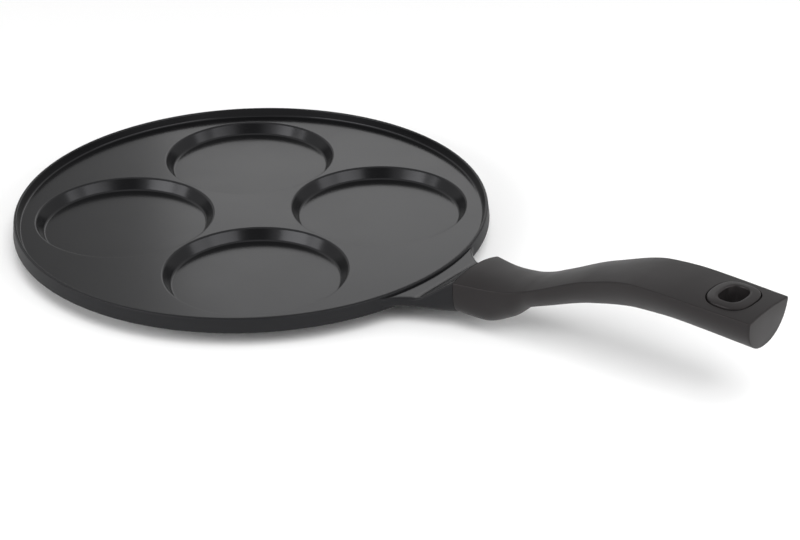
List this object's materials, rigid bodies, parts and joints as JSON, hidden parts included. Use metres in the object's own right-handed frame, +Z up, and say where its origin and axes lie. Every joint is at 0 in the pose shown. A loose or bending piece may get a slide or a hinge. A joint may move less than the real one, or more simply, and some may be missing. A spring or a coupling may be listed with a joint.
{
  "type": "blini pan",
  "caption": "Round cast blini pan: flat plate with shallow round wells inside a low rim, and a curved heat-proof handle that ends in a hanging eyelet.",
  "frame": {"origin": "middle of the base, on the surface that the pan stands on, under the axis of the round pan", "axes": "+X from the pan's middle along the handle, +Z up out of the cooking face, +Y across the handle"},
  "size_m": [0.4494, 0.2586, 0.0666],
  "materials": {
    "coated_casting": "cast aluminium under a satin black non-stick coating",
    "base_steel": "turned ferritic stainless steel",
    "grip_plastic": "matt black heat-proof moulding with a fine grain",
    "eyelet_plastic": "satin black moulding",
    "fastener_steel": "plated steel"
  },
  "bodies": {
    "root": {"pan_body": "coated_casting", "induction_plate": "base_steel", "handle_grip": "grip_plastic", "hanging_eyelet": "eyelet_plastic", "handle_screw": "fastener_steel", "lock_washer": "fastener_steel"}
  },
  "joints": []
}
